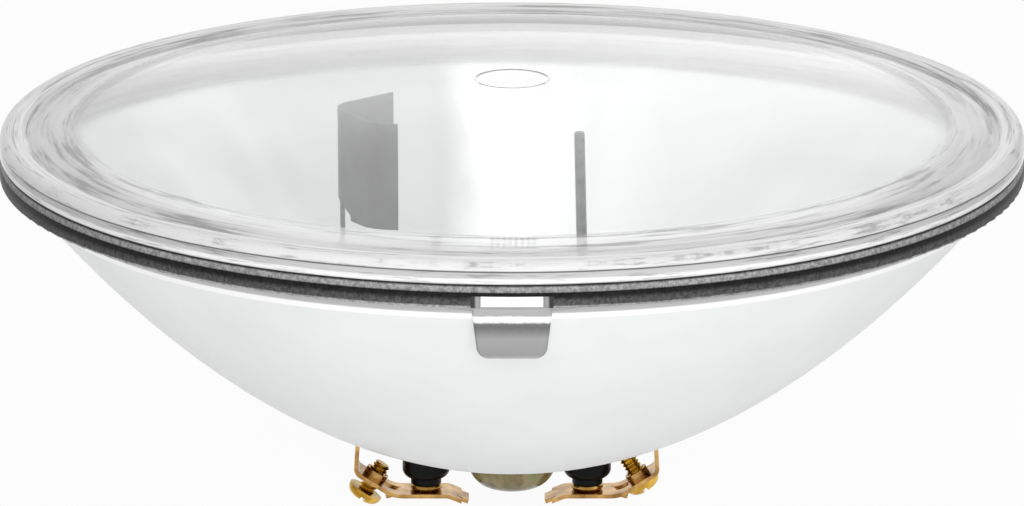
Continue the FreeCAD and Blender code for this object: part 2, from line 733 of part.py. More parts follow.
# Terminal strip: one blank, bent to a lip, a base, a tilted screw plate and an upright arm
def build_strip(name, side):
    body = add_body(name)
    path = add_sketch(body, f"{name}_bends", "XZ_Plane")
    lip_turn = "Size.lip_tilt"
    start = Vector(
        -number("Size.base_inner_run")
        - number("Size.lip_bend_radius * sin(Size.lip_tilt * 1 deg)")
        - number("Size.lip_run * cos(Size.lip_tilt * 1 deg)"),
        number(STRIP_MIDDLE)
        - number("Size.lip_bend_radius * (1 - cos(Size.lip_tilt * 1 deg))")
        - number("Size.lip_run * sin(Size.lip_tilt * 1 deg)"),
        0)
    drawn = draw_bent_line(path, start, lip_turn, [
        ("run", "Size.lip_run"),
        ("bend", "Size.lip_bend_radius", f"-{lip_turn}"),
        ("run", "Size.base_inner_run + Size.base_outer_run"),
        ("bend", "Size.base_bend_radius", "Size.plate_tilt"),
        ("run", "Size.plate_run"),
        ("bend", "Size.arm_bend_radius", "Size.arm_tilt - Size.plate_tilt"),
        ("run", ARM_RUN),
    ])
    base = drawn[2][0]
    pin(path, base, 1, "-Size.base_inner_run", STRIP_MIDDLE)
    doc.recompute()
    sweep_section(body, f"{name}_sheet", path, len(drawn), "Size.strip_width", "Size.strip_thickness")

    # The lip's end is cut to a tongue between two shorter ears, with a slit at each side of it
    end = "(-Size.base_inner_run - Size.lip_bend_radius - Size.lip_run)"
    tip = (f"(-Size.base_inner_run - Size.lip_bend_radius * sin(Size.lip_tilt * 1 deg)"
           f" - Size.lip_run * cos(Size.lip_tilt * 1 deg))")
    for hand, word in ((1, "back"), (-1, "front")):
        ear = add_sketch(body, f"{name}_{word}_ear", "XY_Plane")
        inside = f"{hand} * Size.lip_tongue_width / 2"
        slit = f"{hand} * (Size.lip_tongue_width / 2 + Size.lip_slit_width)"
        outside = f"{hand} * Size.strip_width"
        draw_outline(ear, [
            (end, inside),
            (f"{tip} + Size.lip_ear_setback + Size.lip_slit_depth", inside),
            (f"{tip} + Size.lip_ear_setback", slit),
            (f"{tip} + Size.lip_ear_setback", outside),
            (end, outside),
        ])
        pocket(body, f"{name}_{word}_ear_cut", ear, both_ways=True)

    # Slot, and the tab that was cut out of it and bent down
    slot = add_sketch(body, f"{name}_slot", "XY_Plane")
    draw_outline(slot, [
        ("Size.slot_start", "-(Size.tab_width / 2 + Size.tab_gap)"),
        ("Size.slot_start + Size.slot_length", "-(Size.tab_width / 2 + Size.tab_gap)"),
        ("Size.slot_start + Size.slot_length", "Size.tab_width / 2 + Size.tab_gap"),
        ("Size.slot_start", "Size.tab_width / 2 + Size.tab_gap"),
    ])
    pocket(body, f"{name}_slot_cut", slot, both_ways=True)
    tab = add_sketch(body, f"{name}_tab_bends", "XZ_Plane")
    tab_start = Vector(number("Size.slot_start - Size.tab_root"), number(STRIP_MIDDLE), 0)
    tab_drawn = draw_bent_line(tab, tab_start, "0", [
        ("run", "Size.tab_root"),
        ("bend", "Size.tab_bend_radius", "-Size.tab_tilt"),
        ("run", "Size.tab_run"),
    ])
    pin(tab, tab_drawn[0][0], 1, "Size.slot_start - Size.tab_root", STRIP_MIDDLE)
    doc.recompute()
    sweep_section(body, f"{name}_tab", tab, len(tab_drawn), "Size.tab_width", "Size.strip_thickness")

    # Hole for the eyelet, then the collar drawn up out of the plate and the screw's hole in it
    eye = add_sketch(body, f"{name}_eye", "XY_Plane")
    draw_circle(eye, "0", "0", "Size.eyelet_shank_radius + Size.eyelet_hole_gap")
    pocket(body, f"{name}_eye_cut", eye, both_ways=True)
    add_plate_cylinder(body, f"{name}_collar", "PartDesign::AdditiveCylinder", "Size.collar_radius",
                       "0", "Size.strip_thickness / 2 + Size.collar_height")
    add_plate_cylinder(body, f"{name}_screw_hole", "PartDesign::SubtractiveCylinder", SCREW_HOLE_RADIUS,
                       "Size.strip_thickness", "2 * Size.strip_thickness + Size.collar_height * 2")
    place_at_terminal(body, side)
    return body


def add_plate_cylinder(body, name, kind, radius, start_below, length):
    """A cylinder square to the screw plate, on the screw's axis, that starts below its middle."""
    feature = body.newObject(kind, name)
    plane = next(item for item in body.Origin.OriginFeatures if item.Role == "XY_Plane")
    feature.AttachmentSupport = [(plane, "")]
    feature.MapMode = "FlatFace"
    tilted = FreeCAD.Rotation(Vector(0, -1, 0), number("Size.plate_tilt"))
    feature.AttachmentOffset = FreeCAD.Placement(Vector(), tilted)
    feature.setExpression("AttachmentOffset.Base.x", f"{PLATE_X} + {start_below} * {PLATE_SIN}")
    feature.setExpression("AttachmentOffset.Base.z", f"{PLATE_Z} - {start_below} * {PLATE_COS}")
    feature.setExpression("AttachmentOffset.Rotation.Angle", "Size.plate_tilt")
    feature.setExpression("Radius", radius)
    feature.setExpression("Height", length)
    doc.recompute()
    return feature


# Terminal screw: a slotted pan head and a shank, whose fine thread isn't cut here
def build_screw(name, side, backed_out):
    body = add_body(name)
    section = add_sketch(body, f"{name}_section", "XZ_Plane")
    draw_outline(section, [
        ("0", "-Size.head_height"),
        ("Size.head_radius - Size.head_round * 2", "-Size.head_height"),
        arc("Size.head_round * 2", 1),
        ("Size.head_radius", "-Size.head_height + Size.head_round * 2"),
        ("Size.head_radius", "0"),
        ("Size.screw_radius", "0"),
        ("Size.screw_radius", "Size.screw_length - Size.screw_point_break"),
        ("Size.screw_radius - Size.screw_point_break", "Size.screw_length"),
        ("0", "Size.screw_length"),
    ])
    revolve(body, f"{name}_form", section)
    slot = add_sketch(body, f"{name}_slot", "XZ_Plane")
    draw_outline(slot, [
        ("-Size.screw_slot_width / 2", "-Size.head_height * 2"),
        ("Size.screw_slot_width / 2", "-Size.head_height * 2"),
        ("Size.screw_slot_width / 2", "-Size.head_height + Size.screw_slot_depth"),
        ("-Size.screw_slot_width / 2", "-Size.head_height + Size.screw_slot_depth"),
    ])
    pocket(body, f"{name}_slot_cut", slot, both_ways=True)
    offset = "Size.right_offset" if side > 0 else "Size.left_offset"
    seat = f"(Size.strip_thickness / 2 + Size.seated_gap + {backed_out})"
    tilted = FreeCAD.Rotation(Vector(0, -side, 0), number("Size.plate_tilt"))
    body.Placement = FreeCAD.Placement(Vector(), tilted)
    body.setExpression("Placement.Base.x", f"{side} * ({offset} + {PLATE_X} + {seat} * {PLATE_SIN})")
    body.setExpression("Placement.Base.z", f"{PLATE_Z} - {seat} * {PLATE_COS}")
    body.setExpression("Placement.Rotation.Angle", "Size.plate_tilt")
    return body


# Lead post: a stiff wire that stands in a ferrule and leans a little towards the lamp's axis
def build_post(name, side, length, lean):
    body = add_body(name)
    section = add_sketch(body, f"{name}_section", "XZ_Plane")
    draw_outline(section, [
        ("0", "0"),
        ("Size.post_radius", "0"),
        ("Size.post_radius", f"{length} - Size.post_end_round"),
        ("Size.post_radius - Size.post_end_round", length),
        ("0", length),
    ])
    revolve(body, f"{name}_form", section)
    offset = "Size.right_offset" if side > 0 else "Size.left_offset"
    body.Placement = FreeCAD.Placement(Vector(), FreeCAD.Rotation(Vector(0, -side, 0), number(lean)))
    foot_height = f"{POST_FOOT} + Size.fused_gap + Size.post_radius * sin({lean} * 1 deg)"
    body.setExpression("Placement.Base.x", f"{side} * {offset}")
    body.setExpression("Placement.Base.z", foot_height)
    body.setExpression("Placement.Rotation.Angle", lean)
    return body


# Filament: a coil across the mirror's focus, whose straight tails lie against the two posts
def build_filament():
    body = add_body("filament")
    rise = f"({FOCUS_HEIGHT} - {POST_FOOT})"
    tail_root = f"({COIL_LENGTH} / 2 - Size.coil_wire_radius / 2)"
    right_post_x = f"(Size.right_offset - {rise} * tan(Size.right_post_lean * 1 deg))"
    left_post_x = f"(Size.left_offset - {rise} * tan(Size.left_post_lean * 1 deg))"
    right_length = f"{right_post_x} + Size.tail_overhang - {tail_root}"
    left_length = f"{left_post_x} + Size.tail_overhang - {tail_root}"
    wire = add_sketch(body, "coil_wire", "XZ_Plane")
    draw_circle(wire, COIL_RADIUS, "0", "Size.coil_wire_radius")
    coil = body.newObject("PartDesign::AdditiveHelix", "coil")
    coil.Profile = wire
    coil.ReferenceAxis = (wire, ["V_Axis"])
    coil.Mode = "pitch-turns-angle"
    coil.setExpression("Pitch", "Size.coil_pitch")
    coil.setExpression("Turns", "Size.coil_turns")
    doc.recompute()
    for word, plane_height, length, down in (
            ("left", "Size.coil_wire_radius / 2", left_length, True),
            ("right", f"{COIL_LENGTH} - Size.coil_wire_radius / 2", right_length, False)):
        tail = add_sketch(body, f"{word}_tail_section", "XY_Plane", plane_height)
        draw_circle(tail, COIL_RADIUS, "0", "Size.coil_wire_radius")
        pad(body, f"{word}_tail", tail, length, reverse=down)
    facing = FreeCAD.Rotation(Vector(0, -1, 0), Vector(0, 0, -1), Vector(1, 0, 0), "XYZ")
    body.Placement = FreeCAD.Placement(Vector(), facing)
    body.setExpression("Placement.Base.x", f"-{COIL_LENGTH} / 2")
    body.setExpression("Placement.Base.z", FOCUS_HEIGHT)
    return body


# Shield: a thin sheet curled open towards the filament
def build_shield():
    body = add_body("filament_shield")
    path = add_sketch(body, "shield_plan", "XY_Plane", "Size.shield_top - Size.shield_height / 2")
    fold_x = "-Size.shield_reach + Size.shield_sheet / 2 + Size.shield_fold_radius"
    first_way = "180 + Size.shield_back_angle"
    way = math.radians(number(first_way))
    left = Vector(-math.sin(way), math.cos(way), 0)
    ahead = Vector(math.cos(way), math.sin(way), 0)
    fold_centre = Vector(number(fold_x), 0, 0)
    start = (fold_centre - left * number("Size.shield_fold_radius")
             - ahead * number("Size.shield_back_run"))
    drawn = draw_bent_line(path, start, first_way, [
        ("run", "Size.shield_back_run"),
        ("bend", "Size.shield_fold_radius", "180 - Size.shield_back_angle - Size.shield_front_angle"),
        ("run", "Size.shield_front_run"),
        ("bend", "Size.shield_lip_radius", "Size.shield_front_angle - Size.shield_lip_angle"),
        ("run", "Size.shield_lip_run"),
    ])
    pin(path, drawn[1][0], 3, fold_x, "0")
    doc.recompute()
    sweep_section(body, "shield_sheet", path, len(drawn), "Size.shield_sheet", "Size.shield_height")
    corner = add_sketch(body, "shield_corner", "XZ_Plane")
    bottom = "(Size.shield_top - Size.shield_height)"
    draw_outline(corner, [
        ("-Size.shield_reach - Size.shield_sheet", f"{bottom} - Size.shield_sheet"),
        ("-Size.shield_reach + Size.shield_corner_cut", f"{bottom} - Size.shield_sheet"),
        ("-Size.shield_reach + Size.shield_corner_cut", f"{bottom} + Size.shield_corner_rise / 4"),
        ("-Size.shield_reach - Size.shield_sheet", f"{bottom} + Size.shield_corner_rise"),
    ])
    pocket(body, "shield_corner_cut", corner, both_ways=True)
    return body


# Support: the wire in the left ferrule that carries the shield at its fold
def build_support():
    body = add_body("shield_support")
    path = add_sketch(body, "support_bends", "XZ_Plane")
    wire_reach = "(Size.support_radius + Size.fused_gap)"
    foot_x = f"(Size.left_offset + Size.ferrule_radius - Size.ferrule_wall - {wire_reach})"
    top_x = f"(Size.shield_reach - Size.shield_sheet - {wire_reach})"
    foot_z = f"({POST_FOOT} + Size.fused_gap)"
    lean = "(Size.support_lean * 1 deg)"
    across = f"({top_x} - {foot_x} - 2 * Size.support_bend_radius * (1 - cos{lean}))"
    slant = f"({across} / sin{lean})"
    rise = f"(Size.support_foot_run + 2 * Size.support_bend_radius * sin{lean} + {slant} * cos{lean})"
    start = Vector(-number(foot_x), number(foot_z), 0)
    drawn = draw_bent_line(path, start, "90", [
        ("run", "Size.support_foot_run"),
        ("bend", "Size.support_bend_radius", "Size.support_lean"),
        ("run", slant),
        ("bend", "Size.support_bend_radius", "-Size.support_lean"),
        ("run", f"Size.support_top - {foot_z} - {rise}"),
    ])
    pin(path, drawn[0][0], 1, f"-{foot_x}", foot_z)
    doc.recompute()
    sweep_wire(body, "support_wire", path, len(drawn), "Size.support_radius")
    return body


parts = [
    build_reflector(),
    build_lens(),
    build_exhaust_tip(),
    build_filament(),
    build_shield(),
    build_support(),
    build_post("post_left", -1, LEFT_POST_LENGTH, "Size.left_post_lean"),
    build_post("post_right", 1, RIGHT_POST_LENGTH, "Size.right_post_lean"),
    build_screw("terminal_screw_left", -1, "Size.left_backed_out"),
    build_screw("terminal_screw_right", 1, "0"),
]
for side, word in ((-1, "left"), (1, "right")):
    parts.append(build_ferrule(f"ferrule_{word}", side))
    parts.append(build_boot(f"boot_{word}", side))
    parts.append(build_eyelet(f"eyelet_{word}", side))
    parts.append(build_strip(f"terminal_strip_{word}", side))
doc.recompute()

for item in doc.Objects:
    if "Invalid" in item.State or "Error" in item.State:
        raise RuntimeError(f"{item.Name} failed: {item.State}")
for part in parts:
    if part.Shape.isNull() or not part.Shape.isValid() or len(part.Shape.Solids) != 1:
        raise RuntimeError(f"{part.Label} isn't one sound solid")
for part in parts:
    part.Shape.exportStep(f"parts/{part.Label}.step")
    box = part.Shape.optimalBoundingBox()
    corners = (box.XMin, box.YMin, box.ZMin, box.XMax, box.YMax, box.ZMax)
    print(part.Label, f"{part.Shape.Volume:.1f}", [round(value, 2) for value in corners])
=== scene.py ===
"""Looks of the sealed-beam spotlight lamp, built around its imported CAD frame.

Metres, in the frame's own axes: the lamp's axis is Z, the light leaves towards +Z, and Z = 0 is the
rear face of the rim flange. Sizes below are in millimetres and are turned into metres where used;
only the lamps of the stage and the camera's clipping are written in metres.
"""

import math

import bmesh
import bpy
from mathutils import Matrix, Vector


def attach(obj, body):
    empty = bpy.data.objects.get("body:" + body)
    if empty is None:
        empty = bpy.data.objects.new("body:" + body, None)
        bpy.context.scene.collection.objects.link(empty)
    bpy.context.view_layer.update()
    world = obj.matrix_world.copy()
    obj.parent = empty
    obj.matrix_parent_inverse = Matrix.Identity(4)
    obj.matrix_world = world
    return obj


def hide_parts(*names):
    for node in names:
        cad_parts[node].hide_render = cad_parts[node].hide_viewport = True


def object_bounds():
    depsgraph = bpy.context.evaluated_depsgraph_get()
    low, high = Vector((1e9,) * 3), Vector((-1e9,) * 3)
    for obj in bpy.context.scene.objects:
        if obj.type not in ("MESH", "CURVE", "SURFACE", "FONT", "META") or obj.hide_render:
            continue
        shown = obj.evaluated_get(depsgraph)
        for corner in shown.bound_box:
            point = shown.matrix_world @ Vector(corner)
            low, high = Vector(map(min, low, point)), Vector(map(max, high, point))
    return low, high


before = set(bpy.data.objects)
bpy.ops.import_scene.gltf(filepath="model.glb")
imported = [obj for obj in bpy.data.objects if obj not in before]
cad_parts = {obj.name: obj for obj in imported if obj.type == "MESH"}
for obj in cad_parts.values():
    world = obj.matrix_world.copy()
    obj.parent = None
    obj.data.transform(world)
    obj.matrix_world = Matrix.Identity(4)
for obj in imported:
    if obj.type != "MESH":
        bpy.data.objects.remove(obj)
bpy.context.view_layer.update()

MM = 0.001
METRES_TO_MM = 1000.0

# Photograph: its width, the lamp's scale in it and where the camera stood
PHOTO_WIDTH = 1024
PIXELS_PER_MM = 5.037
CAMERA_DISTANCE = 4200.0
CAMERA_ELEVATION = 15.17
AIM_HEIGHT = -16.2
SENSOR_WIDTH = 36.0

# Rim and bowl
RIM_RADIUS = 101.6
SEAM_RADIUS = 101.2
FLANGE_HEIGHT = 4.7
BOWL_DEPTH = 58.6
BOWL_WALL = 4.0
MIRROR_MOUTH_RADIUS = 94.3
MIRROR_HOLE_RADIUS = 1.6

# Lens
LENS_HEIGHT = 19.7
LENS_WALL = 4.0
WINDOW_EDGE_RADIUS = 90.6
FOOT_RING_RADIUS = 93.6
DOME_FOOT_RADIUS = 94.8
DOME_FOOT_HEIGHT = 8.9
GROOVE_RADIUS = 96.0
GROOVE_HEIGHT = 8.5
LAND_RADIUS = 97.2
LENS_RIM_HEIGHT = 9.4
LENS_EDGE_ROUND = 2.0
LENS_EDGE_BREAK = 0.5
MARK_RADIUS = 7.3
MARK_WIDTH = 0.8
MARK_HEIGHT = 0.04

# Lugs and notches
LUG_REACH = 96.6
LUG_DROP = 11.4
NOTCH_WIDTH = 16.0
NOTCH_FLOOR_WIDTH = 12.0
NOTCH_HEIGHT = 2.5
NOTCH_ROOT_RADIUS = 98.0

# Terminal strips: the middle of the sheet and what places the tilted screw plate
LEFT_OFFSET = 17.1
RIGHT_OFFSET = 15.0
STRIP_MIDDLE = -65.25
BASE_OUTER_RUN = 4.6
BASE_BEND_RADIUS = 6.5
PLATE_RUN = 5.9
PLATE_TILT = math.radians(32.0)
PLATE_REACH = (BASE_OUTER_RUN + BASE_BEND_RADIUS * math.sin(PLATE_TILT)
               + PLATE_RUN / 2 * math.cos(PLATE_TILT))
PLATE_HEIGHT = (STRIP_MIDDLE + BASE_BEND_RADIUS * (1 - math.cos(PLATE_TILT))
                + PLATE_RUN / 2 * math.sin(PLATE_TILT))

# Terminal screws, 6-32: how far each head's underside is below the plate's middle, and the thread
HEAD_SEAT = 0.45
LEFT_BACKED_OUT = 2.2
SCREW_RADIUS = 1.75
SCREW_LENGTH = 6.35
SCREW_POINT_BREAK = 0.4
THREAD_PITCH = 0.794
THREAD_DEPTH = 0.36
THREAD_FLANK = 1.25
HEAD_MARGIN = 0.02

# The fused joint shows as a film between the two glasses, this far above the flange
FILM_LIFT = 0.09
FUSED_FILM_LIFT = 0.03
FUSED_GLASS_LIFT = 0.06
FILM_EDGE_INSET = 0.1

# How deep the painted shade and highlights reach behind a face that they belong to
FLANGE_SIDE_DEPTH = 0.35
LUG_FACE_DEPTH = 0.75
LUG_FACE_TOP = -1.0
NOTCH_SIDE_MARGIN = 0.05
NOTCH_END_MARGIN = 0.02
GLINT_REACH = 6.0

# Steps of the round stretches, and the turns past which an edge stays crisp, in degrees
ROUND_STEPS = 256
LENS_INNER_STEPS = 80
LENS_FOOT_STEPS = 12
LENS_EDGE_STEPS = 12
LENS_DOME_STEPS = 64
MARK_STEPS = 12
MIRROR_STEPS = 72
THREAD_STEPS = 48
THREAD_ROWS = 130
GLASS_CREASE = 12.0
SCREW_CREASE = 35.0

# Stage
FLOOR_SIZE = 6000.0
FLOOR_GAP = 0.2
FLOOR_GLOW_SHARE = 0.94


# Scene helpers
def new_object(name, mesh, body, material):
    """A smooth shown piece that rides on a CAD body and has one material."""
    piece = bpy.data.objects.new(name, mesh)
    bpy.context.scene.collection.objects.link(piece)
    mesh.materials.append(material)
    for polygon in mesh.polygons:
        polygon.use_smooth = True
    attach(piece, body)
    return piece


def assign(node_name, material):
    """Give a CAD node its material."""
    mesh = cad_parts[node_name].data
    mesh.materials.clear()
    mesh.materials.append(material)


def finished_mesh(name, mesh_maker):
    """Turn the faces outwards and write them to a mesh."""
    bmesh.ops.recalc_face_normals(mesh_maker, faces=mesh_maker.faces)
    mesh = bpy.data.meshes.new(name)
    mesh_maker.to_mesh(mesh)
    mesh_maker.free()
    return mesh


def revolved_mesh(name, outline):
    """Turn an outline of (radius, height) in millimetres about Z; radius 0 makes one shared point."""
    mesh_maker = bmesh.new()
    rings = []
    for radius, height in outline:
        if radius < 1e-6:
            rings.append([mesh_maker.verts.new((0.0, 0.0, height * MM))])
            continue
        ring = []
        for step in range(ROUND_STEPS):
            angle = 2 * math.pi * step / ROUND_STEPS
            ring.append(mesh_maker.verts.new(
                (radius * math.cos(angle) * MM, radius * math.sin(angle) * MM, height * MM)))
        rings.append(ring)
    for lower, upper in zip(rings, rings[1:]):
        for step in range(ROUND_STEPS):
            following = (step + 1) % ROUND_STEPS
            corners = [lower[step % len(lower)], lower[following % len(lower)],
                       upper[following % len(upper)], upper[step % len(upper)]]
            mesh_maker.faces.new(list(dict.fromkeys(corners)))
    return finished_mesh(name, mesh_maker)


def sharpen(piece, degrees):
    """Keep edges crisp that turn by more than this."""
    limit = math.radians(degrees)
    mesh_maker = bmesh.new()
    mesh_maker.from_mesh(piece.data)
    for edge in mesh_maker.edges:
        if len(edge.link_faces) == 2 and edge.calc_face_angle(0.0) > limit:
            edge.smooth = False
    mesh_maker.to_mesh(piece.data)
    mesh_maker.free()


# Stretches of outlines
def round_stretch(centre_radius, centre_height, radius, start, end, steps):
    """Points on an arc, angles in degrees."""
    points = []
    for step in range(steps + 1):
        angle = math.radians(start + (end - start) * step / steps)
        points.append((centre_radius + radius * math.cos(angle), centre_height + radius * math.sin(angle)))
    return points


def cap_stretch(foot_radius, foot_height, top_height, steps):
    """Points of a shallow dome from its foot to its crest on the axis."""
    rise = top_height - foot_height
    dome_radius = (foot_radius ** 2 + rise ** 2) / (2 * rise)
    points = []
    for step in range(steps + 1):
        radius = foot_radius * (1 - step / steps)
        points.append((radius, top_height - dome_radius + math.sqrt(dome_radius ** 2 - radius ** 2)))
    return points


def ease_stretch(start, end, steps):
    """Points after the start that fall to the end's height in a soft S."""
    points = []
    for step in range(1, steps + 1):
        share = 0.5 + 0.5 * math.cos(math.pi * step / steps)
        points.append((start[0] + (end[0] - start[0]) * step / steps, end[1] + (start[1] - end[1]) * share))
    return points


# Node helpers
def new_material(name):
    """A material with its nodes and the shader to set up."""
    material = bpy.data.materials.new(name)
    material.use_nodes = True
    shader = material.node_tree.nodes["Principled BSDF"]
    return material, material.node_tree, shader


def fill_socket(tree, socket, value):
    """Link a socket to this input, or set the input to this number or colour."""
    if isinstance(value, bpy.types.NodeSocket):
        tree.links.new(value, socket)
    else:
        socket.default_value = value


def math_node(tree, operation, *values):
    """A maths node whose inputs are sockets or numbers."""
    node = tree.nodes.new("ShaderNodeMath")
    node.operation = operation
    for socket, value in zip(node.inputs, values):
        fill_socket(tree, socket, value)
    return node.outputs[0]


def product(tree, *factors):
    """All factors multiplied, such as several conditions that have to hold together."""
    result = factors[0]
    for factor in factors[1:]:
        result = math_node(tree, "MULTIPLY", result, factor)
    return result


def mixed(tree, factor, first, second, blend="MIX"):
    """Two colours blended by a factor."""
    node = tree.nodes.new("ShaderNodeMix")
    node.data_type = "RGBA"
    node.blend_type = blend
    for name, value in (("Factor", factor), ("A", first), ("B", second)):
        fill_socket(tree, node.inputs[name], value)
    return node.outputs["Result"]


def mixed_shader(tree, factor, first, second):
    """Two shaders blended by a factor."""
    node = tree.nodes.new("ShaderNodeMixShader")
    tree.links.new(factor, node.inputs["Fac"])
    tree.links.new(first, node.inputs[1])
    tree.links.new(second, node.inputs[2])
    return node.outputs["Shader"]


def ramp(tree, factor, stops):
    """A colour ramp from (place, grey or colour) pairs."""
    node = tree.nodes.new("ShaderNodeValToRGB")
    elements = node.color_ramp.elements
    while len(elements) < len(stops):
        elements.new(0.5)
    for element, (place, colour) in zip(elements, stops):
        element.position = place
        if isinstance(colour, (int, float)):
            colour = (colour, colour, colour)
        element.color = (*colour, 1.0)
    tree.links.new(factor, node.inputs["Fac"])
    return node.outputs["Color"]


def object_place(tree):
    """The object's own coordinates, in metres."""
    return tree.nodes.new("ShaderNodeTexCoord").outputs["Object"]


def mapped(tree, source, stretch):
    """Coordinates scaled by three numbers."""
    node = tree.nodes.new("ShaderNodeMapping")
    node.inputs["Scale"].default_value = stretch
    tree.links.new(source, node.inputs["Vector"])
    return node.outputs["Vector"]


def noise(tree, coordinates, scale, detail=4.0, roughness=0.55):
    """The grey value of a noise."""
    node = tree.nodes.new("ShaderNodeTexNoise")
    node.inputs["Scale"].default_value = scale
    node.inputs["Detail"].default_value = detail
    node.inputs["Roughness"].default_value = roughness
    tree.links.new(coordinates, node.inputs["Vector"])
    return node.outputs["Fac"]


def axis_coordinates(tree):
    """The distance from the lamp's axis and the three coordinates, in metres."""
    split = tree.nodes.new("ShaderNodeSeparateXYZ")
    tree.links.new(object_place(tree), split.inputs[0])
    squares = [math_node(tree, "MULTIPLY", split.outputs[name], split.outputs[name]) for name in "XY"]
    radius = math_node(tree, "SQRT", math_node(tree, "ADD", *squares))
    return radius, split.outputs


def ring_coordinates(tree, radius, axes, turn_scale):
    """Coordinates that change slowly round the lamp's axis and fast across it, for streaks."""
    join = tree.nodes.new("ShaderNodeCombineXYZ")
    for name in "XY":
        share = math_node(tree, "DIVIDE", axes[name], radius)
        tree.links.new(math_node(tree, "MULTIPLY", share, turn_scale), join.inputs[name])
    tree.links.new(math_node(tree, "ADD", radius, axes["Z"]), join.inputs["Z"])
    return join.outputs["Vector"]


def add_bump(tree, shader, height, strength, distance):
    """Bump from a grey value; the distance is in millimetres."""
    node = tree.nodes.new("ShaderNodeBump")
    node.inputs["Strength"].default_value = strength
    node.inputs["Distance"].default_value = distance * MM
    tree.links.new(height, node.inputs["Height"])
    tree.links.new(node.outputs["Normal"], shader.inputs["Normal"])


# Materials
def lens_glass():
    """Clear pressed glass whose thick rim is painted: streaks of painted refracted light, and at its side a
    dark line at the seam below bands of painted shade and highlight.
    """
    material, tree, shader = new_material("lens_glass")
    shader.inputs["Roughness"].default_value = 0.0
    shader.inputs["IOR"].default_value = 1.47
    radius, axes = axis_coordinates(tree)
    ring = ring_coordinates(tree, radius, axes, 0.004)
    radius_share = math_node(tree, "MULTIPLY", radius, METRES_TO_MM / RIM_RADIUS)

    # The window is clear; from its edge to the rim more and more painted colour shows in place of clear
    # glass, as painted refracted light
    painted_refraction_share = ramp(tree, radius_share, [(0.846, 0.0), (0.868, 0.58), (0.935, 0.55), (0.955, 0.8)])
    tree.links.new(math_node(tree, "SUBTRACT", 1.0, painted_refraction_share), shader.inputs["Transmission Weight"])

    # Painted streaks of refracted light run round the rim's top; round its side run a dark line at the seam
    # and painted bands of shade and highlight, broken by fine streaks
    streaks = noise(tree, ring, 900.0, 3.0, 0.6)
    painted_streaks = ramp(tree, streaks, [(0.36, 0.42), (0.46, 0.8), (0.56, 0.96)])
    height_mm = math_node(tree, "MULTIPLY", axes["Z"], METRES_TO_MM)
    level = math_node(tree, "DIVIDE", math_node(tree, "SUBTRACT", height_mm, FLANGE_HEIGHT),
                      LENS_RIM_HEIGHT - FLANGE_HEIGHT)
    seam_and_painted_bands = ramp(tree, level, [(0.0, 0.1), (0.03, 0.12), (0.06, 0.9), (0.26, 0.95), (0.32, 0.6),
                                (0.53, 0.55), (0.565, 0.12), (0.595, 0.12), (0.63, 0.8), (1.0, 0.88)])
    fine = noise(tree, mapped(tree, ring, (2.5, 2.5, 2.2)), 900.0, 4.0, 0.7)
    band_streaks = ramp(tree, fine, [(0.36, 0.55), (0.44, 0.9), (0.52, 1.0)])
    streaked_bands = mixed(tree, 1.0, seam_and_painted_bands, band_streaks, "MULTIPLY")
    at_side = math_node(tree, "GREATER_THAN", radius_share, 0.977)
    in_window = math_node(tree, "LESS_THAN", radius_share, 0.85)
    colour = mixed(tree, at_side, painted_streaks, streaked_bands)
    colour = mixed(tree, in_window, colour, (0.985, 0.99, 0.99, 1.0))
    tree.links.new(colour, shader.inputs["Base Color"])
    add_bump(tree, shader, math_node(tree, "MULTIPLY", streaks, painted_refraction_share), 0.25, 0.12)
    return material


def mirror_metal():
    """The bright metal film on the bowl's inner face."""
    material, tree, shader = new_material("mirror_film")
    shader.inputs["Base Color"].default_value = (0.93, 0.935, 0.935, 1.0)
    shader.inputs["Metallic"].default_value = 1.0
    place = object_place(tree)
    cloud = noise(tree, place, 30.0, 2.0)
    tree.links.new(ramp(tree, cloud, [(0.3, 0.06), (0.7, 0.12)]), shader.inputs["Roughness"])
    add_bump(tree, shader, noise(tree, place, 160.0, 3.0), 0.12, 0.3)
    return material


def mouth_glint(tree, height_mm):
    """Where the bowl meets the flange, and its colour there: a bright line over a shadow."""
    below = math_node(tree, "ADD", math_node(tree, "DIVIDE", height_mm, GLINT_REACH), 1.0)
    colour = ramp(tree, below, [(0.3, (0.8, 0.81, 0.81)), (0.38, (0.98, 0.98, 0.98)),
                                (0.56, (0.98, 0.98, 0.98)), (0.62, (0.5, 0.5, 0.5)), (1.0, (0.4, 0.4, 0.4))])
    return ramp(tree, below, [(0.3, 0.0), (0.36, 1.0)]), colour


def flange_side_painted_shading(tree, place, height_mm, radius_mm):
    """Where the flange's side is, and its colour: speckled dark and grey bands of painted shade and light, in
    place of what its glass refracts.
    """
    inside = product(tree, math_node(tree, "GREATER_THAN", height_mm, 0.0),
                     math_node(tree, "GREATER_THAN", radius_mm, SEAM_RADIUS - FLANGE_SIDE_DEPTH))
    level = math_node(tree, "DIVIDE", height_mm, FLANGE_HEIGHT)
    # Painted shade and light in bands by height up the flange's side, with a dark line at the seam at the
    # top, speckled by noise
    band = ramp(tree, level, [(0.0, 0.4), (0.1, 0.3), (0.15, 0.08), (0.35, 0.065), (0.5, 0.016), (0.68, 0.01),
                              (0.73, 0.25), (0.9, 0.3), (0.965, 0.04), (1.0, 0.02)])
    band_speckle = ramp(tree, noise(tree, place, 1300.0, 4.0, 0.7), [(0.38, 0.6), (0.62, 1.3)])
    return inside, mixed(tree, 1.0, band, band_speckle, "MULTIPLY")


